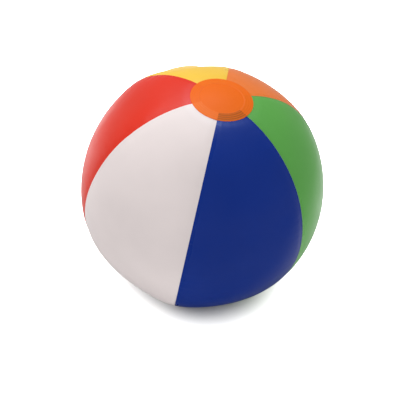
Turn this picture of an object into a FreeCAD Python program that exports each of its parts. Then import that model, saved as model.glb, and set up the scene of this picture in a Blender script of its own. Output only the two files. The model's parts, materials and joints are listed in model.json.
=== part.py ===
import FreeCAD, Part
import math
import os

# Inflatable beach ball: six film gores, two end caps and a push-in inflation valve.
# Origin at the centre of the ball, +Z through the centre of the top cap. Millimetres and degrees.

# Driving dimensions of the envelope
BALL_RADIUS = 140.0
FILM = 0.25
WELD_GAP = 0.02
CAP_RADIUS = 35.0
POLE_HOLE_RADIUS = 25.0
REST_PATCH_RADIUS = 15.0
SEAM_LAP = 5.0
LAP_ROOT = 1.5
LAP_ROOT_GAP = 0.04
LAP_SWEEP = 30.0
SEAM_GAP = 0.02

# The gores in order of growing longitude, and the longitude of the first one's near seam
GORES = ["blue", "green", "orange", "yellow", "red", "white"]
GORE_ANGLE = 360.0 / len(GORES)
FIRST_SEAM = 240.0
VALVE_GORE = "yellow"

# Driving dimensions of the valve. Levels are distances from the ball's centre along the valve's axis.
VALVE_COLATITUDE = 55.0
VALVE_LONGITUDE = 90.0
VALVE_HOLE_RADIUS = 12.9
VALVE_HOLE_CUT = 6.0
FLANGE_INNER_RADIUS = 12.4
FLANGE_OUTER_RADIUS = 18.0
FLANGE_THICKNESS = 0.8
BOOT_WALL = 0.6
BOOT_FLOOR_RADIUS = 8.5
BOOT_FLOOR_LEVEL = BALL_RADIUS - 7.6
BOOT_CLEARANCE = 0.2
STEM_RADIUS = 5.0
STEM_LENGTH = 22.0
STEM_BORE_RADIUS = 3.0
RIM_LEVEL = BALL_RADIUS - 1.9
MOUTH_RADIUS = 4.0
MOUTH_BASE_RADIUS = 3.25
MOUTH_DEPTH = 4.5
MOUTH_END_DEPTH = 5.0
NECK_RADIUS = 4.6
NECK_TOP_DEPTH = 0.5
NECK_BOTTOM_DEPTH = 1.3

# The plug, its strap and the fold between them
STRAP_CLEARANCE = 0.05
STRAP_RING_RADIUS = 6.2
STRAP_WIDTH = 3.6
FOLD_DISTANCE = 9.0
FOLD_DROP = 0.225
FOLD_RADIUS = 0.45
EAR_REACH = FOLD_DISTANCE - 0.5
PLUG_LIFT = 0.1
PLUG_HEAD_RADIUS = 5.6
PLUG_HEAD_THICKNESS = 1.6
PLUG_EAR_THICKNESS = 0.8
PLUG_TAB_REACH = 8.2
PLUG_TAB_WIDTH = 4.0
SHANK_TOP_RADIUS = 3.9
SHANK_TIP_RADIUS = 3.05
SHANK_LENGTH = 4.2
SHANK_HOLLOW_RADIUS = 2.0
SHANK_HOLLOW_DEPTH = 3.4

# The non-return flap under the stem
FLAP_RADIUS = 4.5
FLAP_THICKNESS = 0.4
FLAP_CLEARANCE = 0.05
FLAP_HINGE_DISTANCE = 5.25
FLAP_HINGE_WIDTH = 3.0
FLAP_BEAD_RADIUS = 0.2

ORIGIN = FreeCAD.Vector(0, 0, 0)
X_AXIS = FreeCAD.Vector(1, 0, 0)
Y_AXIS = FreeCAD.Vector(0, 1, 0)
Z_AXIS = FreeCAD.Vector(0, 0, 1)
FULL_TURN = 360.0
HALF_TURN = 180.0
QUARTER_TURN = 90.0
PAST_THE_BALL = 1.1 * BALL_RADIUS
POLE_HOLE_ANGLE = math.degrees(math.asin(POLE_HOLE_RADIUS / BALL_RADIUS))
CAP_ANGLE = math.degrees(math.asin(CAP_RADIUS / BALL_RADIUS))


def meridian_point(radius, colatitude):
    """A point in the XZ plane at a distance from the centre and an angle down from +Z."""
    angle = math.radians(colatitude)
    return FreeCAD.Vector(radius * math.sin(angle), 0, radius * math.cos(angle))


def level_on_sphere(radius, lateral):
    """How far along an axis through the centre a sphere lies, at a distance from that axis."""
    return math.sqrt(radius**2 - lateral**2)


def arc(radius, start, end):
    """An arc about the centre, in the XZ plane, between two colatitudes."""
    middle = meridian_point(radius, (start + end) / 2)
    return Part.Arc(meridian_point(radius, start), middle, meridian_point(radius, end)).toShape()


def face_of(edges):
    return Part.Face(Part.Wire(Part.__sortEdges__(edges)))


def polygon(points):
    """A flat face from (distance from the Z axis, level) pairs."""
    corners = [FreeCAD.Vector(x, 0, z) for x, z in points]
    return Part.Face(Part.makePolygon(corners + corners[:1]))


def turned(face, angle=FULL_TURN):
    return face.revolve(ORIGIN, Z_AXIS, angle)


def shell_sector(inner, outer, start, end, turn=FULL_TURN):
    """The solid between two spheres and two colatitudes, swept about Z from the XZ plane."""
    edges = [
        arc(outer, start, end),
        Part.makeLine(meridian_point(outer, end), meridian_point(inner, end)),
        arc(inner, start, end),
        Part.makeLine(meridian_point(inner, start), meridian_point(outer, start)),
    ]
    return turned(face_of(edges), turn)


def seam_slab(behind, ahead):
    """A slab along the XZ half plane, from a distance behind that plane to a distance ahead of it."""
    corner = FreeCAD.Vector(0, -behind, -PAST_THE_BALL)
    return Part.makeBox(PAST_THE_BALL, behind + ahead, 2 * PAST_THE_BALL, corner)


def lap():
    """The tab that runs under the next gore, and the step that joins it to its own gore."""
    start = POLE_HOLE_ANGLE
    end = HALF_TURN - POLE_HOLE_ANGLE
    under = BALL_RADIUS - FILM - WELD_GAP
    band = shell_sector(under - FILM, under, start, end, LAP_SWEEP)
    root = shell_sector(under - FILM, BALL_RADIUS - FILM / 2, start, end, LAP_SWEEP)
    for piece in (band, root):
        piece.rotate(ORIGIN, Z_AXIS, -LAP_SWEEP / 2)
    band = band.common(seam_slab(LAP_ROOT, SEAM_LAP))
    root = root.common(seam_slab(LAP_ROOT, -LAP_ROOT_GAP))
    return band.fuse(root)


def gore(first_seam):
    """One gore, from one seam to the next, with a welding tab along its far seam."""
    half_gap = math.degrees(SEAM_GAP / 2 / BALL_RADIUS)
    sweep = GORE_ANGLE - 2 * half_gap
    end = HALF_TURN - POLE_HOLE_ANGLE
    body = shell_sector(BALL_RADIUS - FILM, BALL_RADIUS, POLE_HOLE_ANGLE, end, sweep)
    body.rotate(ORIGIN, Z_AXIS, half_gap)
    tab = lap()
    tab.rotate(ORIGIN, Z_AXIS, GORE_ANGLE)
    whole = body.fuse(tab)
    whole.rotate(ORIGIN, Z_AXIS, first_seam)
    return whole


def placed_on_ball(shape):
    """Moves a shape built along +Z at its true distance from the centre to the valve's place."""
    shape.rotate(ORIGIN, X_AXIS, -VALVE_COLATITUDE)
    shape.rotate(ORIGIN, Z_AXIS, VALVE_LONGITUDE - QUARTER_TURN)
    return shape


def valve_hole():
    """The round hole through the film that the valve hangs in."""
    base = FreeCAD.Vector(0, 0, BALL_RADIUS - VALVE_HOLE_CUT / 2)
    return placed_on_ball(Part.makeCylinder(VALVE_HOLE_RADIUS, VALVE_HOLE_CUT, base))


def top_cap():
    inner = BALL_RADIUS + WELD_GAP
    return shell_sector(inner, inner + FILM, 0, CAP_ANGLE)


def bottom_cap():
    """The lower cap, with the small flat that the film takes where the ball rests."""
    inner = BALL_RADIUS + WELD_GAP
    outer = inner + FILM
    outer_level = level_on_sphere(outer, REST_PATCH_RADIUS)
    inner_level = outer_level - FILM
    outer_angle = math.degrees(math.acos(outer_level / outer))
    inner_angle = math.degrees(math.acos(inner_level / inner))
    patch_edge = meridian_point(outer, HALF_TURN - outer_angle)
    inner_edge = meridian_point(inner, HALF_TURN - inner_angle)
    on_axis_outer = FreeCAD.Vector(0, 0, -outer_level)
    on_axis_inner = FreeCAD.Vector(0, 0, -inner_level)
    rim = HALF_TURN - CAP_ANGLE
    edges = [
        Part.makeLine(on_axis_outer, patch_edge),
        arc(outer, HALF_TURN - outer_angle, rim),
        Part.makeLine(meridian_point(outer, rim), meridian_point(inner, rim)),
        arc(inner, rim, HALF_TURN - inner_angle),
        Part.makeLine(inner_edge, on_axis_inner),
        Part.makeLine(on_axis_inner, on_axis_outer),
    ]
    return turned(face_of(edges))


def valve_flange():
    """The ring welded to the inside of the film around the valve's hole."""
    outer = BALL_RADIUS - FILM - WELD_GAP
    start = math.degrees(math.asin(FLANGE_INNER_RADIUS / outer))
    end = math.degrees(math.asin(FLANGE_OUTER_RADIUS / outer))
    return placed_on_ball(shell_sector(outer - FLANGE_THICKNESS, outer, start, end))


def valve_boot():
    """The cone-shaped cup that hangs from the flange and guides the stem in its floor."""
    underside = BALL_RADIUS - FILM - WELD_GAP - FLANGE_THICKNESS
    top_outer = FLANGE_INNER_RADIUS + BOOT_WALL
    top_level = level_on_sphere(underside, top_outer) - WELD_GAP
    floor_bottom = BOOT_FLOOR_LEVEL - BOOT_WALL
    hole = STEM_RADIUS + BOOT_CLEARANCE
    outline = [
        (FLANGE_INNER_RADIUS, top_level),
        (top_outer, top_level),
        (BOOT_FLOOR_RADIUS + BOOT_WALL, floor_bottom),
        (hole, floor_bottom),
        (hole, BOOT_FLOOR_LEVEL),
        (BOOT_FLOOR_RADIUS, BOOT_FLOOR_LEVEL),
    ]
    return placed_on_ball(turned(polygon(outline)))


def valve_stem():
    """The tube that is pushed in or pulled out, with a tapered mouth and a neck for the strap's ring."""
    bottom = RIM_LEVEL - STEM_LENGTH
    outline = [
        (MOUTH_RADIUS, RIM_LEVEL),
        (STEM_RADIUS, RIM_LEVEL),
        (STEM_RADIUS, RIM_LEVEL - NECK_TOP_DEPTH),
        (NECK_RADIUS, RIM_LEVEL - NECK_TOP_DEPTH),
        (NECK_RADIUS, RIM_LEVEL - NECK_BOTTOM_DEPTH),
        (STEM_RADIUS, RIM_LEVEL - NECK_BOTTOM_DEPTH),
        (STEM_RADIUS, bottom),
        (STEM_BORE_RADIUS, bottom),
        (STEM_BORE_RADIUS, RIM_LEVEL - MOUTH_END_DEPTH),
        (MOUTH_BASE_RADIUS, RIM_LEVEL - MOUTH_DEPTH),
    ]
    return placed_on_ball(turned(polygon(outline)))


def knuckle(radius, width, lateral, level):
    """A short round bar along Y, centred on the XZ plane."""
    base = FreeCAD.Vector(lateral, -width / 2, level)
    return Part.makeCylinder(radius, width, base, Y_AXIS)


def plug_strap():
    """The ring around the stem's neck, with the leaf that runs out to the round of the fold."""
    top = RIM_LEVEL - NECK_TOP_DEPTH - STRAP_CLEARANCE
    bottom = RIM_LEVEL - NECK_BOTTOM_DEPTH + STRAP_CLEARANCE
    base = FreeCAD.Vector(0, 0, bottom)
    ring = Part.makeCylinder(STRAP_RING_RADIUS, top - bottom, base)
    leaf_corner = FreeCAD.Vector(0, -STRAP_WIDTH / 2, bottom)
    leaf = Part.makeBox(FOLD_DISTANCE, STRAP_WIDTH, top - bottom, leaf_corner)
    fold = knuckle(FOLD_RADIUS, STRAP_WIDTH, FOLD_DISTANCE, RIM_LEVEL - FOLD_DROP)
    hole = Part.makeCylinder(NECK_RADIUS + STRAP_CLEARANCE, top - bottom, base)
    return placed_on_ball(ring.fuse([leaf, fold]).cut(hole).removeSplitter())


def valve_plug():
    """The stopper: a head with a thumb tab, an ear that reaches the strap's fold, and a hollow shank."""
    seat = RIM_LEVEL + PLUG_LIFT
    base = FreeCAD.Vector(0, 0, seat)
    head = Part.makeCylinder(PLUG_HEAD_RADIUS, PLUG_HEAD_THICKNESS, base)
    ear_corner = FreeCAD.Vector(0, -STRAP_WIDTH / 2, seat)
    ear = Part.makeBox(EAR_REACH, STRAP_WIDTH, PLUG_EAR_THICKNESS, ear_corner)
    tab_corner = FreeCAD.Vector(-PLUG_TAB_REACH, -PLUG_TAB_WIDTH / 2, seat)
    tab = Part.makeBox(PLUG_TAB_REACH, PLUG_TAB_WIDTH, PLUG_EAR_THICKNESS, tab_corner)
    tip = RIM_LEVEL - SHANK_LENGTH
    shank = [
        (0, seat),
        (SHANK_TOP_RADIUS, seat),
        (SHANK_TIP_RADIUS, tip),
        (SHANK_HOLLOW_RADIUS, tip),
        (SHANK_HOLLOW_RADIUS, tip + SHANK_HOLLOW_DEPTH),
        (0, tip + SHANK_HOLLOW_DEPTH),
    ]
    whole = head.fuse([ear, tab, turned(polygon(shank))])
    return placed_on_ball(whole.removeSplitter())


def check_flap():
    """The thin disc that closes the stem's inner end, with the tab and the bead that it turns on."""
    top = RIM_LEVEL - STEM_LENGTH - FLAP_CLEARANCE
    base = FreeCAD.Vector(0, 0, top - FLAP_THICKNESS)
    disc = Part.makeCylinder(FLAP_RADIUS, FLAP_THICKNESS, base)
    corner = FreeCAD.Vector(-FLAP_HINGE_DISTANCE, -FLAP_HINGE_WIDTH / 2, top - FLAP_THICKNESS)
    hinge_tab = Part.makeBox(FLAP_HINGE_DISTANCE, FLAP_HINGE_WIDTH, FLAP_THICKNESS, corner)
    bead = knuckle(FLAP_BEAD_RADIUS, FLAP_HINGE_WIDTH, -FLAP_HINGE_DISTANCE, top)
    return placed_on_ball(disc.fuse([hinge_tab, bead]).removeSplitter())


def parts():
    """Every piece of the ball by node name."""
    made = {}
    for index, colour in enumerate(GORES):
        made["gore_" + colour] = gore(FIRST_SEAM + index * GORE_ANGLE)
    pierced = "gore_" + VALVE_GORE
    made[pierced] = made[pierced].cut(valve_hole())
    caps = (top_cap, bottom_cap)
    valve = (valve_flange, valve_boot, valve_stem, plug_strap, valve_plug, check_flap)
    for piece in caps + valve:
        made[piece.__name__] = piece()
    return made


os.makedirs("parts", exist_ok=True)
for node, shape in parts().items():
    shape.exportStep(os.path.join("parts", node + ".step"))
    print(node, "solids", len(shape.Solids), "valid", shape.isValid(), "mm3", round(shape.Volume, 1))
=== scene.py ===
"""An inflated six-gore beach ball with welded caps and a push-in valve, standing on a pale studio floor."""
import json
import math

import bmesh
import bpy
import numpy as np
from mathutils import Matrix, Vector


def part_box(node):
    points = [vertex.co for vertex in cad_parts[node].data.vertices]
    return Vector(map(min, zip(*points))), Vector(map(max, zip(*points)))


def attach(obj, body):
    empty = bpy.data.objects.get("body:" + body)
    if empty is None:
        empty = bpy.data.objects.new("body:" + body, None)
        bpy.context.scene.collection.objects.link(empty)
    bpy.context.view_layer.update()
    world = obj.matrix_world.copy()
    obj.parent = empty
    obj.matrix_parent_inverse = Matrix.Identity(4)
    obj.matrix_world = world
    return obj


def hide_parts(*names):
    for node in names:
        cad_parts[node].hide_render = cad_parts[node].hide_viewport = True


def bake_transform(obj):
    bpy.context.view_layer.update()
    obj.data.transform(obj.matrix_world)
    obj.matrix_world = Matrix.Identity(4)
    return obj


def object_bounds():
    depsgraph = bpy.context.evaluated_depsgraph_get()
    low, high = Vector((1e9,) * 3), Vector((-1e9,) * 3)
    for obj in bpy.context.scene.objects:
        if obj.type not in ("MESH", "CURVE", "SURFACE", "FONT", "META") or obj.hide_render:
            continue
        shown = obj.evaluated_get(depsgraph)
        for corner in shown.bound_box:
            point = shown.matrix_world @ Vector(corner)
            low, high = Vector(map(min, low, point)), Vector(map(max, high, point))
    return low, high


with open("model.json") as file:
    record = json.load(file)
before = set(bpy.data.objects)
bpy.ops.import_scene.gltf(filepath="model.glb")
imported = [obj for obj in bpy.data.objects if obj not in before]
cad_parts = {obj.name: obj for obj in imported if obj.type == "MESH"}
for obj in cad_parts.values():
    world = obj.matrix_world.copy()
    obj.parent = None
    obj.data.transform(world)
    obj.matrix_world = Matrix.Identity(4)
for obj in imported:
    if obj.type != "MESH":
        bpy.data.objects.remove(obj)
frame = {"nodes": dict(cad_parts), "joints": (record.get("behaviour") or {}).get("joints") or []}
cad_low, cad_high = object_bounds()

MM = 0.001

# ---------------------------------------------------------------- places and sizes, read from the frame

# The gores in the order of their longitudes. The blue one faces -Y, so its first seam is at 240 degrees.
GORES = ["blue", "green", "orange", "yellow", "red", "white"]
GORE_ANGLE = math.tau / len(GORES)
FIRST_SEAM = math.radians(240.0)
BALL_RADIUS = cad_high.x
CAP_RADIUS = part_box("top_cap")[1].x
CAP_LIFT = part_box("top_cap")[1].z - BALL_RADIUS
CAP_ANGLE = math.asin(CAP_RADIUS / (BALL_RADIUS + CAP_LIFT))
POLE_HOLE_RADIUS = math.sqrt(BALL_RADIUS ** 2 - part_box("gore_blue")[1].z ** 2)
POLE_HOLE_ANGLE = math.asin(POLE_HOLE_RADIUS / BALL_RADIUS)
REST_LEVEL = -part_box("bottom_cap")[0].z
JOINTS = {joint["name"]: joint for joint in frame["joints"]}
VALVE_AXIS = Vector(JOINTS["stem_slide"]["axis"]).normalized()
VALVE_SIDE = Vector((1.0, 0.0, 0.0))
VALVE_FRAME = Matrix((VALVE_SIDE, VALVE_AXIS.cross(VALVE_SIDE), VALVE_AXIS)).transposed()


def valve_coordinates(node):
    """A node's vertices in the valve's frame: X to the strap's fold, Z out along the valve's axis."""
    points = np.array([v.co for v in frame["nodes"][node].data.vertices])
    return points @ np.array(VALVE_FRAME)


def valve_span(node):
    """(lowest level, highest level, largest distance from the axis) of a node of the valve."""
    points = valve_coordinates(node)
    reach = np.hypot(points[:, 0], points[:, 1]).max()
    return points[:, 2].min(), points[:, 2].max(), reach


def valve_point(joint):
    """Where a joint's axis passes, in the valve's frame."""
    return np.array(JOINTS[joint]["pos_m"]) @ np.array(VALVE_FRAME)


# ---------------------------------------------------------------- mesh helpers


def place_in_scene(name, data):
    """Makes an object of a mesh, a lamp or a camera."""
    made = bpy.data.objects.new(name, data)
    bpy.context.scene.collection.objects.link(made)
    return made


def new_object(name, points, faces, material=None, smooth_shading=True):
    """Makes an object of a new mesh."""
    mesh = bpy.data.meshes.new(name)
    mesh.from_pydata([tuple(p) for p in points], [], faces)
    mesh.validate()
    mesh.update()
    if smooth_shading:
        mesh.shade_smooth()
    if material is not None:
        mesh.materials.append(material)
    return place_in_scene(name, mesh)


def grid_faces(rows, columns, wrap=False):
    """Quads of a grid numbered row by row, facing outwards where rows go down and columns go east."""
    faces = []
    for row in range(rows - 1):
        for column in range(columns if wrap else columns - 1):
            right = (column + 1) % columns
            top, bottom = row * columns, (row + 1) * columns
            faces.append((top + column, bottom + column, bottom + right, top + right))
    return faces


def thicken(made, thickness):
    """Gives a sheet its thickness, inwards from the face that is seen, with closed edges."""
    solid = made.modifiers.new("thickness", "SOLIDIFY")
    solid.thickness = thickness
    solid.offset = -1.0
    solid.use_rim = True
    solid.material_offset_rim = 1


def face_outwards(made):
    """Turns all the faces of a closed mesh outwards."""
    shape = bmesh.new()
    shape.from_mesh(made.data)
    bmesh.ops.recalc_face_normals(shape, faces=shape.faces)
    shape.to_mesh(made.data)
    shape.free()


def set_attribute(made, name, values):
    """Stores one number for each of a mesh's points, for its material to read."""
    attribute = made.data.attributes.new(name, "FLOAT", "POINT")
    attribute.data.foreach_set("value", np.asarray(values, np.float32).ravel())


# ---------------------------------------------------------------- small tools for curves and waves


def smooth(t):
    """A ramp from 0 at t = 0 to 1 at t = 1, level at both ends."""
    t = np.clip(t, 0.0, 1.0)
    return t * t * (3.0 - 2.0 * t)


def wave(position, wavelength, seed, count=5):
    """A smooth irregular wave of about unit height, the same at every run."""
    draw = np.random.default_rng(seed)
    total = np.zeros_like(position)
    for _ in range(count):
        length = wavelength * draw.uniform(0.65, 1.6)
        total += np.sin(math.tau * position / length + draw.uniform(0.0, math.tau))
    return total / math.sqrt(count / 2.0)


def direction(longitude, colatitude):
    """Unit vectors from the ball's centre."""
    across = np.sin(colatitude)
    level = np.cos(colatitude) + 0.0 * longitude
    return np.stack([across * np.cos(longitude), across * np.sin(longitude), level], -1)


# ---------------------------------------------------------------- the blown-up shape, by cloth simulation

SIM_ROWS = 96
SIM_COLUMNS = 144
SIM_FRAMES = 20
SIM_SEED = 11
SIM_NOISE = 0.05 * MM
SIM_PRESSURE = 300.0
SIM_STIFFNESS = 15.0
SIM_SHEAR_STIFFNESS = 6.0
SIM_BENDING = 0.05
SIM_DAMPING = 20.0
SIM_MASS = 0.05
SIM_QUALITY = 5
WELD_SHRINK = 0.012

# How flat the film is cut across each gore: 0 is as round as the ball, and 1 is flat from seam to seam.
# It grows from the middle to the ends over these latitudes, in radians, varies by gore, and fades at caps.
CUT_FLATNESS_MIDDLE = 0.12
CUT_FLATNESS_ENDS = 0.45
FLATNESS_GROWS_FROM = 0.3
FLATNESS_GROWS_OVER = 0.5
FLATNESS_FADES_OVER = 25 * MM
GORE_FLATNESS = np.array([0.9, 0.5, 0.7, 1.3, 1.5, 1.2])
CAP_CUT_FLATNESS = 0.6

# The film is slack around one place near the top, given as (longitude, colatitude).
SLACK_PLACE = (math.radians(72.0), math.radians(46.0))
SLACK_SPREAD = math.radians(38.0)
SLACK = 1.5 * MM
LARGEST_MOVE = 6.0 * MM

# The top cap sinks, and so does the film around it. The ripples fade towards both poles.
CAP_SINK = 2.2 * MM
SINK_FADES_FROM = 0.5 * CAP_RADIUS
SINK_FADES_OVER = 2.0 * CAP_RADIUS
RELIEF_STARTS_AT = 0.8 * CAP_RADIUS
RELIEF_GROWS_OVER = 0.8 * CAP_RADIUS


def cut_shape(longitude, colatitude):
    """The ball as cut and welded, before it stretches: flatter across each gore, with flatter caps."""
    turn = (longitude - FIRST_SEAM) / GORE_ANGLE
    gore = np.floor(turn + 1e-6)
    from_middle = turn - gore - 0.5
    to_pole = np.minimum(colatitude, math.pi - colatitude)
    width = GORE_ANGLE * BALL_RADIUS * np.sin(colatitude)
    middle = width / (2.0 * math.tan(GORE_ANGLE / 2.0))
    side = from_middle * width
    radius = np.hypot(middle, side)
    angle = np.arctan2(side, middle) + FIRST_SEAM + (gore + 0.5) * GORE_ANGLE
    level = BALL_RADIUS * np.cos(colatitude) + 0.0 * angle
    flat = np.stack([radius * np.cos(angle), radius * np.sin(angle), level], -1)

    latitude = math.pi / 2 - to_pole
    growth = smooth((latitude - FLATNESS_GROWS_FROM) / FLATNESS_GROWS_OVER)
    share = CUT_FLATNESS_MIDDLE + (CUT_FLATNESS_ENDS - CUT_FLATNESS_MIDDLE) * growth
    share = share * GORE_FLATNESS[gore.astype(int) % len(GORES)]
    share = share * smooth((BALL_RADIUS * to_pole - CAP_RADIUS) / FLATNESS_FADES_OVER)
    round_ball = BALL_RADIUS * direction(longitude, colatitude)
    shape = round_ball + share[..., None] * (flat - round_ball)

    rim_height = BALL_RADIUS * math.cos(CAP_ANGLE)
    dome = np.clip(np.abs(shape[..., 2]) - rim_height, 0.0, None)
    shape[..., 2] -= np.sign(shape[..., 2]) * CAP_CUT_FLATNESS * dome
    return shape


def grid_directions():
    """Longitudes and colatitudes of the simulated grid, its first and last rows at the poles."""
    colatitude = np.linspace(0.0, math.pi, SIM_ROWS + 1)[:, None]
    longitude = FIRST_SEAM + np.arange(SIM_COLUMNS)[None, :] * (math.tau / SIM_COLUMNS)
    return longitude + 0.0 * colatitude, colatitude + 0.0 * longitude


def make_envelope(shape):
    """The closed sheet that is blown up, from a grid of points whose end rows are the poles."""
    inner = shape[1:-1].reshape(-1, 3)
    inner = inner + np.random.default_rng(SIM_SEED).normal(0.0, SIM_NOISE, inner.shape)
    points = np.concatenate([inner, shape[0, :1], shape[-1, :1]])
    rows = SIM_ROWS - 1
    faces = grid_faces(rows, SIM_COLUMNS, wrap=True)
    top, bottom = len(inner), len(inner) + 1
    last = (rows - 1) * SIM_COLUMNS
    for k in range(SIM_COLUMNS):
        beside = (k + 1) % SIM_COLUMNS
        faces.append((top, k, beside))
        faces.append((bottom, last + beside, last + k))
    return new_object("envelope", points, faces)


def mark_welds(envelope):
    """Puts the seams' points in a vertex group, because welds shrink."""
    weld = envelope.vertex_groups.new(name="weld")
    per_gore = SIM_COLUMNS // len(GORES)
    _, colatitude = grid_directions()
    for row, angle in enumerate(colatitude[1:-1, 0]):
        if np.sin(angle) * BALL_RADIUS > POLE_HOLE_RADIUS:
            seams = [row * SIM_COLUMNS + seam * per_gore for seam in range(len(GORES))]
            weld.add(seams, 1.0, "REPLACE")


def add_cloth(envelope):
    """Makes the sheet a cloth under pressure, with no gravity."""
    cloth = envelope.modifiers.new("inflation", "CLOTH")
    settings = cloth.settings
    settings.quality = SIM_QUALITY
    settings.mass = SIM_MASS
    settings.tension_stiffness = SIM_STIFFNESS
    settings.compression_stiffness = SIM_STIFFNESS
    settings.shear_stiffness = SIM_SHEAR_STIFFNESS
    settings.bending_stiffness = SIM_BENDING
    settings.tension_damping = SIM_DAMPING
    settings.compression_damping = SIM_DAMPING
    settings.shear_damping = SIM_DAMPING
    settings.vertex_group_shrink = "weld"
    settings.shrink_min = 0.0
    settings.shrink_max = WELD_SHRINK
    settings.use_pressure = True
    settings.uniform_pressure_force = SIM_PRESSURE
    settings.effector_weights.gravity = 0.0
    cloth.collision_settings.use_collision = False
    cloth.point_cache.frame_end = SIM_FRAMES


def inflate():
    """Blows the cut shape up as cloth and gives the grid of its points, poles included."""
    shape = cut_shape(*grid_directions())
    envelope = make_envelope(shape)
    mark_welds(envelope)
    add_cloth(envelope)
    for frame_number in range(1, SIM_FRAMES + 1):
        bpy.context.scene.frame_set(frame_number)
    blown = envelope.evaluated_get(bpy.context.evaluated_depsgraph_get()).data
    result = np.array([v.co for v in blown.vertices])
    bpy.data.objects.remove(envelope)
    bpy.context.scene.frame_set(1)

    grid = np.empty_like(shape)
    grid[1:-1] = result[:-2].reshape(SIM_ROWS - 1, SIM_COLUMNS, 3)
    grid[0] = result[-2]
    grid[-1] = result[-1]
    return grid


def settle(grid):
    """Brings the blown-up grid to the ball's size: keeps its facets and ripples, and sinks the top."""
    longitude, colatitude = grid_directions()
    distance = np.linalg.norm(grid, axis=-1)
    relief = distance - distance.mean(axis=1, keepdims=True)
    to_pole = BALL_RADIUS * np.minimum(colatitude, math.pi - colatitude)
    relief *= smooth((to_pole - RELIEF_STARTS_AT) / RELIEF_GROWS_OVER)
    sunk = CAP_SINK * smooth(1.0 - (to_pole - SINK_FADES_FROM) / SINK_FADES_OVER)
    top_half = smooth(2.0 - colatitude / (math.pi / 2))
    slack_centre = direction(*np.array(SLACK_PLACE))
    away = np.arccos(np.clip(direction(longitude, colatitude) @ slack_centre, -1.0, 1.0))
    sunk = sunk * top_half + SLACK * smooth(1.0 - away / SLACK_SPREAD)
    radius = BALL_RADIUS - sunk + np.clip(relief, -LARGEST_MOVE, LARGEST_MOVE)
    return direction(longitude, colatitude) * radius[..., None]


def cubic_weights(t):
    """Catmull-Rom weights of four neighbours."""
    return [(-t + 2 * t ** 2 - t ** 3) / 2, (2 - 5 * t ** 2 + 3 * t ** 3) / 2,
            (t + 4 * t ** 2 - 3 * t ** 3) / 2, (t ** 3 - t ** 2) / 2]


def sample(grid, longitude, colatitude):
    """The simulated surface between its grid points."""
    column = (longitude - FIRST_SEAM) / math.tau * SIM_COLUMNS
    row = np.clip(colatitude / math.pi * SIM_ROWS, 0.0, SIM_ROWS - 1e-6)
    first_column, first_row = np.floor(column).astype(int), np.floor(row).astype(int)
    column_weights = cubic_weights(column - first_column)
    row_weights = cubic_weights(row - first_row)
    total = 0.0
    for i, row_weight in enumerate(row_weights):
        rows = np.clip(first_row + i - 1, 0, SIM_ROWS)
        for j, column_weight in enumerate(column_weights):
            columns = (first_column + j - 1) % SIM_COLUMNS
            total = total + (row_weight * column_weight)[..., None] * grid[rows, columns]
    return total


BLOWN = settle(inflate())


# ---------------------------------------------------------------- film

FILM = 0.25 * MM
WELD_GAP = 0.02 * MM
SEAM_LAP = 5.0 * MM
LAP_SLOPE = 8.0 * MM
WELD_EDGE = 1.0 * MM
EDGE_LOOP = 0.15 * MM

# The dip that each cap's weld lies in.
CAP_DIP = 0.6 * MM
CAP_DIP_WIDTH = 10.0 * MM

# Small ripples beside the seams: their height and length, where they start, and how fast they fade.
PUCKER_HEIGHT = 0.10 * MM
PUCKER_LENGTH = 9 * MM
PUCKER_SEED = 40
PUCKER_START = 5 * MM
PUCKER_FADE = 10 * MM
PUCKER_FROM_CAP = 14 * MM

# The same around each cap.
CAP_PUCKER_HEIGHT = 0.06 * MM
CAP_PUCKER_ANGLE = math.tau / 44.0
CAP_PUCKER_SEED = 7
CAP_PUCKER_START = 3 * MM
CAP_PUCKER_FADE = 9 * MM

# The film around the valve: its hole, the ring where it is welded to the flange, and a zone of true round.
VALVE_GORE = "yellow"
VALVE_HOLE = 12.9 * MM
RING_WELD = (13.7 * MM, 17.4 * MM)
RING_EDGE = 0.8 * MM
RING_RELIEF = 0.14 * MM
VALVE_ROUND = 19.0 * MM
VALVE_ROUND_FADE = 18 * MM


def valve_distance(longitude, colatitude):
    """Distance over the film from the valve's axis."""
    cosine = direction(longitude, colatitude) @ np.array(VALVE_AXIS)
    return BALL_RADIUS * np.arccos(np.clip(cosine, -1.0, 1.0))


def weld_ring(from_valve):
    """1 in the pressed ring that welds the film to the valve's flange, 0 elsewhere."""
    inner, outer = RING_WELD
    past_inner = smooth((from_valve - inner) / RING_EDGE + 0.5)
    before_outer = smooth((outer - from_valve) / RING_EDGE + 0.5)
    return past_inner * before_outer


def pucker(longitude, colatitude):
    """Small ripples in the film beside the welds, and the shallow dip that each cap's weld lies in."""
    turn = (longitude - FIRST_SEAM) / GORE_ANGLE
    seam = np.round(turn)
    to_pole = BALL_RADIUS * np.minimum(colatitude, math.pi - colatitude)
    from_cap = to_pole - CAP_RADIUS
    from_seam = BALL_RADIUS * np.sin(colatitude) * np.abs(turn - seam) * GORE_ANGLE
    along = BALL_RADIUS * colatitude
    ripple = np.zeros_like(along + longitude)
    for number in range(len(GORES)):
        this_seam = np.mod(seam, len(GORES)) == number
        ripple += np.where(this_seam, wave(along, PUCKER_LENGTH, PUCKER_SEED + number), 0.0)
    weld_side = smooth(from_seam / PUCKER_START) * np.exp(-from_seam / PUCKER_FADE)
    ripple *= PUCKER_HEIGHT * weld_side * smooth(from_cap / PUCKER_FROM_CAP)
    ring = wave(longitude, CAP_PUCKER_ANGLE, CAP_PUCKER_SEED) * CAP_PUCKER_HEIGHT
    cap_side = np.exp(-np.clip(from_cap, 0.0, None) / CAP_PUCKER_FADE)
    ring *= smooth(from_cap / CAP_PUCKER_START) * cap_side
    dip = -CAP_DIP * smooth(1.0 - from_cap / CAP_DIP_WIDTH) * smooth(to_pole / CAP_RADIUS)
    return ripple + ring + dip


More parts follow.
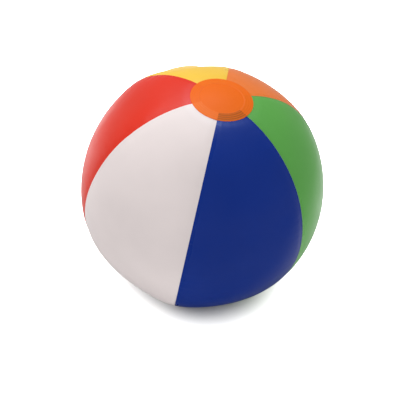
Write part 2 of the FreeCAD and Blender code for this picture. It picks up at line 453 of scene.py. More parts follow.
def on_film(longitude, colatitude, lift):
    """Points of the film's outer face, raised by lift, and never below the floor."""
    outwards = direction(longitude, colatitude)
    surface = sample(BLOWN, longitude, colatitude)
    surface = surface + outwards * pucker(longitude, colatitude)[..., None]
    from_round = valve_distance(longitude, colatitude) - VALVE_ROUND
    blown_share = smooth(from_round / VALVE_ROUND_FADE)[..., None]
    surface = outwards * BALL_RADIUS * (1.0 - blown_share) + surface * blown_share
    surface = surface + outwards * lift[..., None]
    surface[..., 2] = np.maximum(surface[..., 2], -REST_LEVEL)
    return surface


# ---------------------------------------------------------------- materials


class Nodes:
    """Short names for making and joining the shader nodes of a material or a world."""

    def __init__(self, owner):
        owner.use_nodes = True
        self.owner = owner
        self.tree = owner.node_tree
        self.tree.nodes.clear()

    def add(self, kind, **settings):
        node = self.tree.nodes.new(kind)
        for key, value in settings.items():
            setattr(node, key, value)
        return node

    def join(self, source, target):
        self.tree.links.new(source, target)

    def put(self, node, socket, value):
        """Sets an input to a number, a colour or another node's output."""
        if isinstance(value, bpy.types.NodeSocket):
            self.join(value, node.inputs[socket])
        elif isinstance(value, tuple):
            node.inputs[socket].default_value = (*value, 1.0)
        else:
            node.inputs[socket].default_value = value

    def coordinates(self, kind="Object"):
        return self.add("ShaderNodeTexCoord").outputs[kind]

    def noise(self, scale, detail):
        """A noise with about scale grains a metre, in the piece's own coordinates."""
        texture = self.add("ShaderNodeTexNoise")
        self.join(self.coordinates(), texture.inputs["Vector"])
        self.put(texture, "Scale", scale)
        self.put(texture, "Detail", detail)
        return texture.outputs["Fac"]

    def maths(self, operation, a, b=0.0):
        node = self.add("ShaderNodeMath", operation=operation)
        self.put(node, 0, a)
        self.put(node, 1, b)
        return node.outputs[0]

    def spread(self, value, low, high, start=0.0, end=1.0, kind="LINEAR"):
        """low where value is at or below start, high where it is at or above end."""
        node = self.add("ShaderNodeMapRange", interpolation_type=kind)
        for socket, number in (("From Min", start), ("From Max", end), ("To Min", low), ("To Max", high)):
            self.put(node, socket, number)
        self.put(node, "Value", value)
        return node.outputs["Result"]

    def mix_colours(self, share, a, b):
        node = self.add("ShaderNodeMix", data_type="RGBA")
        self.put(node, 0, share)
        self.put(node, 6, a)
        self.put(node, 7, b)
        return node.outputs[2]

    def mix_values(self, share, a, b):
        node = self.add("ShaderNodeMix")
        self.put(node, 0, share)
        self.put(node, 2, a)
        self.put(node, 3, b)
        return node.outputs[0]

    def attribute(self, name):
        return self.add("ShaderNodeAttribute", attribute_name=name).outputs["Fac"]

    def finish(self, shader, output="ShaderNodeOutputMaterial"):
        self.join(shader.outputs[0], self.add(output).inputs["Surface"])
        return self.owner


NOISE_RANGE = (0.3, 0.7)
CLOUD = {"scale": 9.0, "detail": 3.0}
CLOUD_TONE = (0.93, 1.04)
HAZE = {"scale": 26.0, "detail": 4.0}
HAZE_ROUGHNESS = (-0.05, 0.06)
GRAIN = {"scale": 900.0, "detail": 3.0}
COARSE_GRAIN = {"scale": 120.0, "detail": 2.0}
GRAIN_STRENGTH = 0.05
GRAIN_DEPTH = 0.3 * MM
WELD_TONE = 0.985
WELD_POLISH = 0.08


def vinyl(name, colour, roughness=0.36, glow=0.06, gloss=0.17, tint=None):
    """Calendered PVC film: satin with a thin gloss, a fine grain, faint clouding, and a little light let
    through. Its welds are slightly darker and smoother. tint(nodes, colour) may replace the colour."""
    nodes = Nodes(bpy.data.materials.new(name))
    weld = nodes.attribute("weld")
    cloud = nodes.spread(nodes.noise(**CLOUD), *CLOUD_TONE, *NOISE_RANGE)
    pressed = nodes.spread(weld, 1.0, WELD_TONE)
    shade = nodes.add("ShaderNodeHueSaturation")
    nodes.put(shade, "Value", nodes.maths("MULTIPLY", cloud, pressed))
    nodes.put(shade, "Color", tint(nodes, colour) if tint else colour)
    surface = shade.outputs["Color"]

    least, most = HAZE_ROUGHNESS
    haze = nodes.spread(nodes.noise(**HAZE), roughness + least, roughness + most, *NOISE_RANGE)
    polish = nodes.maths("MULTIPLY", weld, WELD_POLISH)
    bump = nodes.add("ShaderNodeBump")
    nodes.put(bump, "Strength", GRAIN_STRENGTH)
    nodes.put(bump, "Distance", GRAIN_DEPTH)
    nodes.put(bump, "Height", nodes.maths("ADD", nodes.noise(**GRAIN), nodes.noise(**COARSE_GRAIN)))
    shader = nodes.add("ShaderNodeBsdfPrincipled")
    nodes.put(shader, "Base Color", surface)
    nodes.put(shader, "Roughness", nodes.maths("SUBTRACT", haze, polish))
    nodes.put(shader, "Specular IOR Level", gloss)
    nodes.put(shader, "Normal", bump.outputs["Normal"])

    through = nodes.add("ShaderNodeBsdfTranslucent")
    nodes.put(through, "Color", surface)
    both = nodes.add("ShaderNodeMixShader")
    nodes.put(both, 0, glow)
    nodes.put(both, 1, shader.outputs[0])
    nodes.put(both, 2, through.outputs[0])
    return nodes.finish(both)


COLOURS = {
    "blue": (0.004, 0.030, 0.260),
    "green": (0.112, 0.400, 0.075),
    "orange": (0.800, 0.195, 0.035),
    "yellow": (0.880, 0.560, 0.055),
    "red": (0.730, 0.032, 0.013),
    "white": (0.830, 0.745, 0.735),
}
CAP_COLOUR = (0.840, 0.150, 0.008)
VALVE_COLOUR = (0.780, 0.790, 0.760)
PLUG_COLOUR = (0.800, 0.805, 0.780)
FLAP_COLOUR = (0.700, 0.720, 0.700)

# How each gore changes the cap's red, green and blue where it lies under the cap's rim.
SEEN_THROUGH = {
    "blue": (0.50, 0.70, 1.5),
    "green": (0.94, 1.00, 1.1),
    "orange": (1.00, 1.02, 1.1),
    "yellow": (1.01, 1.08, 1.1),
    "red": (1.00, 0.96, 1.1),
    "white": (1.04, 1.25, 3.5),
}


def paler(colour, share=0.45):
    """The whiter look of a cut edge."""
    return tuple(c + share * (1.0 - c) for c in colour)


def seen_through_cap(nodes, colour):
    """The cap's orange, tinted in its welded rim by the gore that lies under it."""
    split = nodes.add("ShaderNodeSeparateXYZ")
    nodes.join(nodes.coordinates(), split.inputs[0])
    angle = nodes.maths("ARCTAN2", split.outputs["Y"], split.outputs["X"])
    past_first_seam = nodes.maths("ADD", angle, 2 * math.tau - FIRST_SEAM)
    share = nodes.maths("FRACT", nodes.maths("DIVIDE", past_first_seam, math.tau))
    ramp = nodes.add("ShaderNodeValToRGB")
    ramp.color_ramp.interpolation = "CONSTANT"
    stops = ramp.color_ramp.elements
    while len(stops) < len(GORES):
        stops.new(0.5)
    for index, name in enumerate(GORES):
        stops[index].position = index / len(GORES)
        seen = [part * change for part, change in zip(colour, SEEN_THROUGH[name])]
        stops[index].color = (*seen, 1.0)
    nodes.join(share, ramp.inputs["Fac"])
    return nodes.mix_colours(nodes.attribute("overlap"), colour, ramp.outputs["Color"])


# ---------------------------------------------------------------- the six gores

GORE_ROWS = 160
GORE_COLUMNS = 41
LAP_COLUMNS = 5

# The finer grid around the valve's hole, and how far its last points may be drawn out to the hole's edge.
HOLE_GRID = 0.6 * MM
HOLE_MARGIN = 9.0 * MM
HOLE_SLACK = 0.4 * HOLE_GRID


def shares_across():
    """Places across a gore from 0 at one seam to 1 at the other, closer together near the seams."""
    steps = np.linspace(0.0, 1.0, GORE_COLUMNS)
    shares = 0.5 * steps + 0.25 * (1.0 - np.cos(math.pi * steps))
    return np.insert(shares, 1, EDGE_LOOP / (GORE_ANGLE * BALL_RADIUS))


def crowded(steps, centre, reach, count):
    """The same steps, but with count even ones within reach of centre."""
    kept = steps[np.abs(steps - centre) > reach]
    return np.sort(np.concatenate([kept, np.linspace(centre - reach, centre + reach, count)]))


def gore_grid(first_seam, has_valve):
    """Longitudes and colatitudes of a gore and of its lap under the next gore."""
    rows = np.linspace(POLE_HOLE_ANGLE, math.pi - POLE_HOLE_ANGLE, GORE_ROWS)
    shares = shares_across()
    if has_valve:
        valve_colatitude = math.acos(VALVE_AXIS.z)
        reach = VALVE_HOLE + HOLE_MARGIN
        count = round(2 * reach / HOLE_GRID)
        angle = reach / BALL_RADIUS
        rows = crowded(rows, valve_colatitude, angle, count)
        shares = crowded(shares, 0.5, angle / math.sin(valve_colatitude) / GORE_ANGLE, count)
    colatitude = rows[:, None]
    lap = np.append(np.linspace(0.0, SEAM_LAP - EDGE_LOOP, LAP_COLUMNS)[1:], SEAM_LAP)
    over_gore = GORE_ANGLE * shares[None, :] + 0.0 * colatitude
    over_lap = GORE_ANGLE + lap[None, :] / (BALL_RADIUS * np.sin(colatitude))
    longitude = first_seam + np.concatenate([over_gore, over_lap], axis=1)
    return longitude, colatitude + 0.0 * longitude


def cut_valve_hole(points, faces):
    """Drops the faces inside the valve's hole and draws the mesh's new edge out to a true circle."""
    axis = np.array(VALVE_AXIS)
    along = points @ axis
    sideways = points - along[:, None] * axis
    distance = np.linalg.norm(sideways, axis=1)
    inside = (distance < VALVE_HOLE - HOLE_SLACK) & (along > 0.0)
    touches_hole = [bool(inside[list(face)].any()) for face in faces]
    kept = [face for face, touches in zip(faces, touches_hole) if not touches]
    dropped = [face for face, touches in zip(faces, touches_hole) if touches]
    edge = np.intersect1d(kept, dropped)
    level = math.sqrt(BALL_RADIUS ** 2 - VALVE_HOLE ** 2)
    points[edge] = axis * level + sideways[edge] * (VALVE_HOLE / distance[edge])[:, None]
    used = np.unique(kept)
    number = np.zeros(len(points), int)
    number[used] = np.arange(len(used))
    return points[used], number[np.array(kept)].tolist(), used


def make_gore(name, first_seam):
    """One gore from pole hole to pole hole, sinking under the next gore along its far seam."""
    has_valve = name == VALVE_GORE
    longitude, colatitude = gore_grid(first_seam, has_valve)
    across = BALL_RADIUS * np.sin(colatitude)
    to_far_seam = (first_seam + GORE_ANGLE - longitude) * across
    from_near_seam = (longitude - first_seam) * across
    ring = weld_ring(valve_distance(longitude, colatitude))
    sink = (FILM + WELD_GAP) * smooth(1.0 - to_far_seam / LAP_SLOPE) + RING_RELIEF * ring
    points = on_film(longitude, colatitude, -sink).reshape(-1, 3)
    faces = grid_faces(*longitude.shape)
    near_weld = smooth(1.0 - (from_near_seam - SEAM_LAP + WELD_EDGE) / WELD_EDGE)
    far_weld = smooth(1.0 - to_far_seam / WELD_EDGE)
    weld = np.maximum(np.maximum(near_weld, far_weld), ring).ravel()
    if has_valve:
        points, faces, used = cut_valve_hole(points, faces)
        weld = weld[used]
    made = new_object("gore_film_" + name, points, faces)
    set_attribute(made, "weld", weld)
    return made


def finish_film(made, node, face_vinyl, edge_vinyl):
    """Thickens a sheet of the envelope, and puts it on the ball in its node's place."""
    thicken(made, FILM)
    made.data.materials.append(face_vinyl)
    made.data.materials.append(edge_vinyl)
    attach(made, "ball")
    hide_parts(node)


def make_gores():
    """The six gores, each in its own colour."""
    for index, name in enumerate(GORES):
        gore = make_gore(name, FIRST_SEAM + index * GORE_ANGLE)
        face_vinyl = vinyl("vinyl_" + name, COLOURS[name])
        edge_vinyl = vinyl("cut_edge_" + name, paler(COLOURS[name]))
        finish_film(gore, "gore_" + name, face_vinyl, edge_vinyl)


# ---------------------------------------------------------------- the two caps

CAP_SEGMENTS = 288
CAP_PLAIN_ROWS = 18
CAP_RIM_ROWS = 56
CAP_CENTRE_ANGLE = 0.002
CAP_PLAIN_SHARE = 0.96
CAP_SHOULDER = 1.0 * MM
CAP_LIP = 1.2 * MM
WELD_PITCH = 2.6 * MM
WELD_RELIEF = 0.07 * MM

# How much of the gores' colours the weld's ridges and the cap's lip hide.
HIDDEN_BY_RIDGES = 0.55
HIDDEN_BY_LIP = 0.8


def weld_ridges(from_pole):
    """Height from 0 to 1 of the concentric ridges that the welding tool leaves in a cap's rim."""
    inwards = BALL_RADIUS * (CAP_ANGLE - from_pole) - CAP_LIP
    return 0.5 + 0.5 * np.cos(math.tau * inwards / WELD_PITCH)


def cap_grid():
    """Longitudes and angles from the pole of a cap's rings, which are closer together in its ridged rim."""
    plain_end = CAP_PLAIN_SHARE * POLE_HOLE_ANGLE
    edge_loop = CAP_ANGLE - EDGE_LOOP / BALL_RADIUS
    plain = np.linspace(CAP_CENTRE_ANGLE, plain_end, CAP_PLAIN_ROWS)
    rim = np.linspace(plain_end, edge_loop, CAP_RIM_ROWS)[1:]
    from_pole = np.concatenate([plain, rim, [CAP_ANGLE]])[:, None]
    longitude = np.linspace(0.0, math.tau, CAP_SEGMENTS, endpoint=False)[None, :] + 0.0 * from_pole
    return longitude, from_pole + 0.0 * longitude


def make_cap(name, top):
    """A round disc of film: plain in the middle, and ridged where it is welded over the gores' tips."""
    longitude, from_pole = cap_grid()
    colatitude = from_pole if top else math.pi - from_pole
    on_gores = smooth(BALL_RADIUS * (from_pole - POLE_HOLE_ANGLE) / CAP_SHOULDER + 0.5)
    ridges = weld_ridges(from_pole) * on_gores
    lift = WELD_GAP + FILM * on_gores + WELD_RELIEF * (ridges - 0.5 * on_gores)
    points = on_film(longitude, colatitude, lift).reshape(-1, 3)
    points = np.concatenate([points, points[:CAP_SEGMENTS].mean(axis=0)[None, :]])
    faces = grid_faces(len(from_pole), CAP_SEGMENTS, wrap=True)
    centre = len(points) - 1
    faces += [(centre, k, (k + 1) % CAP_SEGMENTS) for k in range(CAP_SEGMENTS)]
    if not top:
        faces = [face[::-1] for face in faces]
    made = new_object(name, points, faces)
    lip = smooth(1.0 - BALL_RADIUS * (CAP_ANGLE - from_pole) / CAP_LIP)
    overlap = on_gores * (1.0 - HIDDEN_BY_RIDGES * ridges) * (1.0 - HIDDEN_BY_LIP * lip)
    set_attribute(made, "overlap", np.append(overlap, 0.0))
    set_attribute(made, "weld", np.append(on_gores * (1.0 - ridges), 0.0))
    return made


def make_caps():
    """The cap over the gores' upper tips and the one under their lower tips."""
    face_vinyl = vinyl("vinyl_cap", CAP_COLOUR, roughness=0.42, gloss=0.05, tint=seen_through_cap)
    edge_vinyl = vinyl("cut_edge_cap", paler(CAP_COLOUR, 0.1))
    for end in ("top", "bottom"):
        cap = make_cap(end + "_cap_film", end == "top")
        finish_film(cap, end + "_cap", face_vinyl, edge_vinyl)


# ---------------------------------------------------------------- the valve

# Levels are measured along the valve's axis, and distances from that axis. Each STEP is the longest stretch
# that a profile may have. The boot overlaps the stem and the flange, because the three are one moulding.
VALVE_WALL = 0.6 * MM
MOULDING_STEP = 0.8 * MM
FLANGE_DEPTHS = (0.27 * MM, 1.07 * MM)
FLANGE_ROUNDING = 0.2 * MM
BOOT_RADII = (12.4 * MM, 8.5 * MM)
BOOT_RIM_DEPTH = 0.9 * MM
BOOT_WALL = 0.5 * MM
BOOT_STEP = 0.35 * MM
BOOT_IN_STEM = 0.05 * MM
BOOT_RIM_IN_FLANGE = 0.02 * MM

BORE = 3.0 * MM
MOUTH = 4.0 * MM
STOPPER_DEPTH = 4.5 * MM
STOPPER_CLEARANCE = 0.2 * MM
STOPPER_SLOPE = 0.5 * MM
NECK = 4.6 * MM
NECK_DEPTHS = (0.5 * MM, 1.3 * MM)
STEM_ROUNDING = 0.22 * MM
STEM_STEP = 1.5 * MM

HEAD = 5.6 * MM
HEAD_THICKNESS = 1.6 * MM
HEAD_INSET = 0.25 * MM
EAR_THICKNESS = 0.8 * MM
EAR = (8.5 * MM, 1.8 * MM)
THUMB_TAB = (8.2 * MM, 2.0 * MM)
SHANK = (3.9 * MM, 3.05 * MM)
SHANK_LENGTH = 4.3 * MM
HOLLOW = 2.0 * MM
HOLLOW_DEPTH = 3.4 * MM
HOLLOW_TAPER = 0.2 * MM
PLUG_ROUNDING = 0.25 * MM

STRAP_RING = (4.65 * MM, 6.2 * MM)
STRAP_RING_HEIGHT = 0.7 * MM
STRAP_WIDTH = 3.6 * MM
STRAP_THICKNESS = 0.62 * MM
STRAP_ROUNDING = 0.15 * MM
STRAP_START = 5.2 * MM
STRAP_IN_EAR = 1.0 * MM
FOLD_INSET = 0.1 * MM
FOLD_THINNING = 0.3

# Powers that shape a disc's tab, and that blend it into the disc: the higher, the squarer and the sharper.
TAB_POWER = 12
TAB_BLEND_POWER = 24

FLAP = 4.5 * MM
FLAP_TAB = (5.25 * MM, 1.5 * MM)
FLAP_ROUNDING = 0.12 * MM
FLAP_RIM = 0.5 * MM


def place_in_valve(made):
    """Moves a closed piece built about +Z, at its true level, to the valve."""
    made.data.transform(VALVE_FRAME.to_4x4())
    face_outwards(made)
    return made


def rounded(corners, radius, closed=True, steps=4, share=0.45):
    """(distance, level) corners with each corner rounded off, over at most a given share of each side. An
    open line keeps its two ends."""
    corners = [np.array(corner, float) for corner in corners]
    points = []
    for i, corner in enumerate(corners):
        if not closed and i in (0, len(corners) - 1):
            points.append(corner)
            continue
        before = corners[i - 1] - corner
        after = corners[(i + 1) % len(corners)] - corner
        lengths = np.linalg.norm(before), np.linalg.norm(after)
        reach = min(radius, share * lengths[0], share * lengths[1])
        first = corner + before * reach / lengths[0]
        last = corner + after * reach / lengths[1]
        for t in np.linspace(0.0, 1.0, steps + 1):
            points.append((1 - t) ** 2 * first + 2 * t * (1 - t) * corner + t * t * last)
    return points


def with_steps(points, longest, closed=True):
    """The same profile with points added so that none of its stretches is longer than longest."""
    result = []
    following = points[1:] + points[:1] if closed else points[1:]
    for point, following_point in zip(points, following):
        count = max(1, math.ceil(np.linalg.norm(following_point - point) / longest))
        result += [point + (following_point - point) * k / count for k in range(count)]
    if not closed:
        result.append(points[-1])
    return result


def turned(name, profile, material, closed=True, outline=None, plain_radius=0.0, segments=144):
    """A profile of (distance, level) turned about the valve's axis. An open profile starts and ends on the
    axis. With an outline, the points beyond plain_radius stand out as much as outline(angle) does."""
    angle = np.linspace(0.0, math.tau, segments, endpoint=False)
    rings = profile if closed else profile[1:-1]
    points = []
    for distance, level in rings:
        reach = distance + 0.0 * angle
        if outline is not None and distance > plain_radius:
            reach = reach + outline(angle) - outline(np.array([math.pi / 2]))
        points += [(r * math.cos(a), r * math.sin(a), level) for r, a in zip(reach, angle)]
    faces = grid_faces(len(rings), segments, wrap=True)
    last = (len(rings) - 1) * segments
    start, end = len(points), len(points) + 1
    if not closed:
        points += [(0.0, 0.0, profile[0][1]), (0.0, 0.0, profile[-1][1])]
    for k in range(segments):
        beside = (k + 1) % segments
        if closed:
            faces.append((last + k, k, beside, last + beside))
        else:
            faces.append((start, k, beside))
            faces.append((end, last + beside, last + k))
    return place_in_valve(new_object(name, points, faces, material))


def tabbed(angle, radius, tab, turn=0.0):
    """The outline of a disc with one tab: its distance from the axis in each direction."""
    length, half_width = tab
    ahead, beside = np.cos(angle - turn), np.abs(np.sin(angle - turn))
    along_tab = (np.maximum(ahead, 0.05) / length) ** TAB_POWER
    across_tab = (beside / half_width) ** TAB_POWER
    strip = np.where(ahead > 0.0, (along_tab + across_tab) ** (-1 / TAB_POWER), 0.0)
    return (radius ** TAB_BLEND_POWER + strip ** TAB_BLEND_POWER) ** (1 / TAB_BLEND_POWER)


def plug_outline(angle):
    """The plug's head, with the strap's ear towards +X and the thumb tab opposite."""
    return np.maximum(tabbed(angle, HEAD, EAR), tabbed(angle, HEAD, THUMB_TAB, math.pi))


def flap_outline(angle):
    """The flap, with its hinge's tab towards -X."""
    return tabbed(angle, FLAP, FLAP_TAB, math.pi)


def make_flange(material):
    """The ring that follows the ball's curve just inside the film."""
    high, low = (BALL_RADIUS - depth for depth in FLANGE_DEPTHS)
    inner, outer = BOOT_RADII[0], valve_span("valve_flange")[2]
    top = [(r, math.sqrt(high ** 2 - r ** 2)) for r in np.linspace(outer, inner, 9)]
    under = [(r, math.sqrt(low ** 2 - r ** 2)) for r in np.linspace(inner, outer, 9)]
    return turned("flange_ring", rounded(top + under, FLANGE_ROUNDING), material)


def make_boot(material):
    """The thin cone that turns inside out when the stem is pulled, between ball and stem."""
    floor_low = valve_span("valve_boot")[0]
    floor_high = floor_low + VALVE_WALL
    wide, narrow = BOOT_RADII
    inner = valve_span("valve_stem")[2] - BOOT_IN_STEM
    rim = math.sqrt((BALL_RADIUS - BOOT_RIM_DEPTH) ** 2 - wide ** 2)
    corners = [(inner, floor_high), (inner, floor_low), (narrow + BOOT_WALL, floor_low),
               (wide + VALVE_WALL, rim - BOOT_WALL), (wide + BOOT_RIM_IN_FLANGE, rim), (narrow, floor_high)]
    profile = with_steps(rounded(corners, BOOT_WALL, steps=5), BOOT_STEP)
    boot = turned("boot_skin", profile, material)
    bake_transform(boot)
    return boot


def make_stem(material):
    """The tube that is blown into, with a tapered mouth and a neck for the strap's ring."""
    low, rim, radius = valve_span("valve_stem")
    neck_top, neck_bottom = (rim - depth for depth in NECK_DEPTHS)
    seat = rim - STOPPER_DEPTH
    corners = [(MOUTH, rim), (radius, rim), (radius, neck_top), (NECK, neck_top), (NECK, neck_bottom),
               (radius, neck_bottom), (radius, low), (BORE, low), (BORE, seat - STOPPER_SLOPE),
               (SHANK[1] + STOPPER_CLEARANCE, seat)]
    profile = with_steps(rounded(corners, STEM_ROUNDING), STEM_STEP)
    return turned("stem_tube", profile, material)


def make_plug(material):
    """Head with an ear for the strap and a thumb tab, on a hollow tapered shank."""
    high = valve_span("valve_plug")[1]
    seat = high - HEAD_THICKNESS
    ear_top = seat + EAR_THICKNESS
    tip = valve_span("valve_stem")[1] - SHANK_LENGTH
    hollow_end = tip + HOLLOW_DEPTH
    face = HEAD - HEAD_INSET
    corners = [(0.0, high), (face, high), (face, ear_top), (HEAD, ear_top), (HEAD, seat), (SHANK[0], seat),
               (SHANK[1], tip), (HOLLOW, tip), (HOLLOW - HOLLOW_TAPER, hollow_end), (0.0, hollow_end)]
    profile = rounded(corners, PLUG_ROUNDING, closed=False)
    profile = with_steps(profile, MOULDING_STEP, closed=False)
    return turned("plug_stopper", profile, material, False, plug_outline, face)


def make_ribbon(material, fold_x, fold_level, leaf_level):
    """The strap's leaf: out from its ring, round the fold and back into the plug's ear."""
    radius = fold_level - leaf_level
    path = [(x, leaf_level, 0.0) for x in np.linspace(STRAP_START, fold_x, 9)]
    for turn in np.linspace(0.0, math.pi, 17)[1:]:
        path.append((fold_x + radius * math.sin(turn), fold_level - radius * math.cos(turn), turn))
    end_x = EAR[0] - STRAP_IN_EAR
    path += [(x, fold_level + radius, math.pi) for x in np.linspace(fold_x, end_x, 5)[1:]]

    side, depth = 0.5 * STRAP_WIDTH, 0.5 * STRAP_THICKNESS
    section = [(-side, -depth), (side, -depth), (side, depth), (-side, depth)]
    section = rounded(section, STRAP_ROUNDING, steps=3)
    points = []
    for x, level, turn in path:
        thin = 1.0 - FOLD_THINNING * math.sin(turn)
        for across, out in section:
            points.append((x - thin * out * math.sin(turn), across, level + thin * out * math.cos(turn)))
    width = len(section)
    faces = grid_faces(len(path), width, wrap=True)
    faces.append(tuple(range(width)))
    faces.append(tuple(range(len(points) - width, len(points)))[::-1])
    return place_in_valve(new_object("ribbon", points, faces, material))


def joined(first, second):
    """One closed mesh from two that cross."""
    union = first.modifiers.new("union", "BOOLEAN")
    union.operation = "UNION"
    union.solver = "EXACT"
    union.object = second
    result = bpy.data.meshes.new_from_object(first.evaluated_get(bpy.context.evaluated_depsgraph_get()))
    first.modifiers.clear()
    first.data = result
    first.data.shade_smooth()
    bpy.data.objects.remove(second)
    return first


def make_strap(material):
    """The ring around the stem's neck and the leaf that holds the plug, joining stem and plug."""
    low = valve_span("plug_strap")[0]
    high = low + STRAP_RING_HEIGHT
    inner, outer = STRAP_RING
    corners = [(inner, high), (inner, low), (outer, low), (outer, high)]
    ring = turned("strap", rounded(corners, STRAP_ROUNDING), material)
    fold_x, _, fold_level = valve_point("plug_hinge")
    strap = joined(ring, make_ribbon(material, fold_x - FOLD_INSET, fold_level, 0.5 * (low + high)))
    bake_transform(strap)
    return strap


def make_flap(material):
    """The thin disc that closes the stem's inner end, with the tab that it swings on."""
    low = valve_span("check_flap")[0]
    high = valve_point("flap_hinge")[2]
    corners = [(0.0, high), (FLAP, high), (FLAP, low), (0.0, low)]
    profile = rounded(corners, FLAP_ROUNDING, closed=False)
    profile = with_steps(profile, MOULDING_STEP, closed=False)
    return turned("flap_disc", profile, material, False, flap_outline, FLAP - FLAP_RIM)


def make_valve():
    """The valve's six pieces. The boot and the strap each join two bodies, so they ride on none."""
    valve_vinyl = vinyl("vinyl_valve", VALVE_COLOUR, roughness=0.34, glow=0.25)
    plug_vinyl = vinyl("vinyl_plug", PLUG_COLOUR, roughness=0.3, glow=0.25)
    flap_vinyl = vinyl("vinyl_flap", FLAP_COLOUR, roughness=0.3, glow=0.5)
    pieces = [
        (make_flange(valve_vinyl), "valve_flange", "valve_pvc", "ball"),
        (make_stem(valve_vinyl), "valve_stem", "valve_pvc", "stem"),
        (make_plug(plug_vinyl), "valve_plug", "plug_pvc", "plug"),
        (make_flap(flap_vinyl), "check_flap", "flap_film", "flap"),
        (make_boot(valve_vinyl), "valve_boot", "valve_pvc", None),
        (make_strap(plug_vinyl), "plug_strap", "plug_pvc", None),
    ]
    for made, node, slot, body in pieces:
        if body is not None:
            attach(made, body)
        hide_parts(node)


# ---------------------------------------------------------------- camera

VIEW_AZIMUTH = math.radians(330.0)
VIEW_ELEVATION = math.radians(44.6)
VIEW_ROLL = math.radians(12.9)
VIEW_DISTANCE = 9.0 * BALL_RADIUS
LENS = 97.9
LENS_SHIFT = (-0.0051, -0.0353)
NEAREST_SEEN = 10 * MM


def from_azimuth(azimuth, elevation):
    """The direction in which something stands: azimuth 0 is -Y, and azimuth grows towards +X."""
    level = math.cos(elevation)
    return Vector((math.sin(azimuth) * level, -math.cos(azimuth) * level, math.sin(elevation)))


def view_axes():
    """(towards the camera, image up, image right)."""
    back = from_azimuth(VIEW_AZIMUTH, VIEW_ELEVATION)
    right = Vector((0.0, 0.0, 1.0)).cross(back).normalized()
    up = back.cross(right)
    rolled_up = up * math.cos(VIEW_ROLL) - right * math.sin(VIEW_ROLL)
    rolled_right = right * math.cos(VIEW_ROLL) + up * math.sin(VIEW_ROLL)
    return back, rolled_up, rolled_right


def make_camera():
    """A long lens, looking down at the ball from in front and a little to its left."""
    back, up, right = view_axes()
    data = bpy.data.cameras.new("camera")
    data.lens = LENS
    data.shift_x, data.shift_y = LENS_SHIFT
    data.clip_start = NEAREST_SEEN
    made = place_in_scene("camera", data)
    turn = Matrix((right, up, back)).transposed().to_4x4()
    made.matrix_world = Matrix.Translation(back * VIEW_DISTANCE) @ turn
    bpy.context.scene.camera = made


# ---------------------------------------------------------------- floor, surroundings and lights

# The floor's tones: to the camera, in the light that it throws on the ball, and in the ball's gloss. In the
# gloss it carries painted shade: brightest behind the ball, dark in front of it, and dimmer with distance.
# Both ranges are in ball radii.
FLOOR_HALF_SIDE = 6.0
FLOOR_TONE = 0.62
FLOOR_BOUNCE = 0.16
FLOOR_IN_GLOSS = 0.27
BEHIND_IN_GLOSS = (-0.9, 1.3)
FRONT_SHARE_IN_GLOSS = 0.03
FADING_IN_GLOSS = (2.8, 5.5)
FAR_SHARE_IN_GLOSS = 0.25

AMBIENT = 0.66
AMBIENT_IN_GLOSS = 0.10
HORIZON_IN_GLOSS = 0.46
HORIZON_HEIGHT = 0.55

LIGHT_DISTANCE = 1.3
TOP_LIGHT_LEAN = math.radians(20.0)
TOP_LIGHT_LEFT = 0.25
TOP_LIGHT_SIZE = 1.2
TOP_LIGHT_POWER = 11.0
GLINT_BACK = 0.17
GLINT_RIGHT = 0.14
GLINT_SIZE = 0.6
GLINT_POWER = 8.0
GLINT_COLOUR = (0.66, 0.80, 1.0)
FLOOR_LIGHT_ELEVATION = math.radians(77.0)
FLOOR_LIGHT_TURN = math.radians(-60.0)
FLOOR_LIGHT_SPREAD = math.radians(68.0)
FLOOR_LIGHT_POWER = 21.0


def floor_gloss_painted_shade(nodes):
    """The floor's tone in the ball's reflections, with painted shade: dark in front of the ball and dimmer
    far off.
    """
    place = nodes.add("ShaderNodeNewGeometry").outputs["Position"]
    length = nodes.add("ShaderNodeVectorMath", operation="LENGTH")
    nodes.join(place, length.inputs[0])
    away = nodes.maths("DIVIDE", length.outputs["Value"], BALL_RADIUS)
    behind = nodes.add("ShaderNodeVectorMath", operation="DOT_PRODUCT")
    nodes.join(place, behind.inputs[0])
    behind.inputs[1].default_value = -from_azimuth(VIEW_AZIMUTH, 0.0) / BALL_RADIUS
    # Painted shade in the gloss: the floor reflects dark in front of the ball and dims far off.
    painted_shade_in_front = nodes.spread(behind.outputs["Value"], FRONT_SHARE_IN_GLOSS, 1.0, *BEHIND_IN_GLOSS)
    painted_shade_far_off = nodes.spread(away, 1.0, FAR_SHARE_IN_GLOSS, *FADING_IN_GLOSS)
    return nodes.maths("MULTIPLY", nodes.maths("MULTIPLY", painted_shade_in_front, painted_shade_far_off), FLOOR_IN_GLOSS)


def make_floor():
    """A plain pale floor, bright enough to be seen as white, and dimmer in what the ball reflects of it,
    with painted shade there in front of the ball.
    """
    nodes = Nodes(bpy.data.materials.new("pale_floor"))
    path = nodes.add("ShaderNodeLightPath")
    bounce, seen = (FLOOR_BOUNCE,) * 3, (FLOOR_TONE,) * 3
    tone = nodes.mix_colours(path.outputs["Is Glossy Ray"], bounce, floor_gloss_painted_shade(nodes))
    tone = nodes.mix_colours(path.outputs["Is Camera Ray"], tone, seen)
    shader = nodes.add("ShaderNodeBsdfDiffuse")
    nodes.join(tone, shader.inputs["Color"])
    side = FLOOR_HALF_SIDE
    corners = [(-side, -side), (side, -side), (side, side), (-side, side)]
    points = [(x, y, -REST_LEVEL) for x, y in corners]
    floor = new_object("floor", points, [(0, 1, 2, 3)], nodes.finish(shader), smooth_shading=False)
    return floor


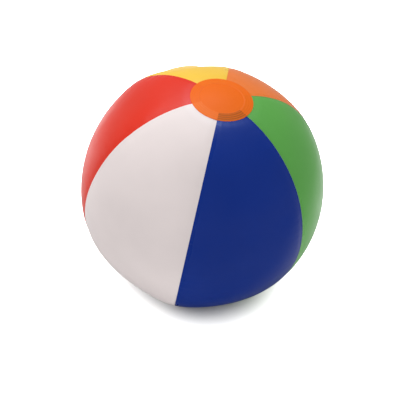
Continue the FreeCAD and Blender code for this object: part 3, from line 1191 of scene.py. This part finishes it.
def make_world():
    """White to the camera and even all round, but dim in reflections except near the horizon."""
    nodes = Nodes(bpy.data.worlds.new("studio"))
    path = nodes.add("ShaderNodeLightPath")
    split = nodes.add("ShaderNodeSeparateXYZ")
    nodes.join(nodes.coordinates("Generated"), split.inputs[0])
    gloss = nodes.spread(split.outputs["Z"], HORIZON_IN_GLOSS, AMBIENT_IN_GLOSS, end=HORIZON_HEIGHT,
                         kind="SMOOTHSTEP")
    strength = nodes.mix_values(path.outputs["Is Glossy Ray"], AMBIENT, gloss)
    strength = nodes.mix_values(path.outputs["Is Camera Ray"], strength, 1.0)
    background = nodes.add("ShaderNodeBackground")
    nodes.put(background, "Color", (1.0, 1.0, 1.0))
    nodes.put(background, "Strength", strength)
    bpy.context.scene.world = nodes.finish(background, "ShaderNodeOutputWorld")


def linked_to(floor, name, state):
    """A collection that makes a light reach only the floor, or everything but the floor."""
    collection = bpy.data.collections.new(name)
    collection.objects.link(floor)
    collection.collection_objects[0].light_linking.link_state = state
    return collection


def make_light(name, kind, towards, power, reached):
    """A light that stands in the direction towards, and reaches only what the collection says."""
    data = bpy.data.lights.new(name, kind)
    data.energy = power
    made = place_in_scene(name, data)
    made.location = towards.normalized() * LIGHT_DISTANCE
    made.rotation_mode = "QUATERNION"
    made.rotation_quaternion = towards.to_track_quat("Z", "Y")
    made.light_linking.receiver_collection = reached
    return made


def make_lights(floor):
    """A soft light from above, a smaller one seen only in the gloss, and a wide sun for the floor."""
    back, up, right = view_axes()
    all_but_floor = linked_to(floor, "all_but_floor", "EXCLUDE")
    only_floor = linked_to(floor, "only_floor", "INCLUDE")

    top = up * math.cos(TOP_LIGHT_LEAN) + back * math.sin(TOP_LIGHT_LEAN) - TOP_LIGHT_LEFT * right
    top_light = make_light("top_light", "AREA", top, TOP_LIGHT_POWER, all_but_floor)
    top_light.data.shape = "DISK"
    top_light.data.size = TOP_LIGHT_SIZE

    glint = up + GLINT_BACK * back + GLINT_RIGHT * right
    glint_light = make_light("glint_light", "AREA", glint, GLINT_POWER, all_but_floor)
    glint_light.data.shape = "DISK"
    glint_light.data.size = GLINT_SIZE
    glint_light.data.color = GLINT_COLOUR
    glint_light.visible_diffuse = False

    above = from_azimuth(VIEW_AZIMUTH + FLOOR_LIGHT_TURN, FLOOR_LIGHT_ELEVATION)
    floor_light = make_light("floor_light", "SUN", above, FLOOR_LIGHT_POWER, only_floor)
    floor_light.data.angle = FLOOR_LIGHT_SPREAD


make_gores()
make_caps()
make_valve()
make_camera()
make_world()
make_lights(make_floor())
bpy.context.scene.view_settings.view_transform = "Standard"
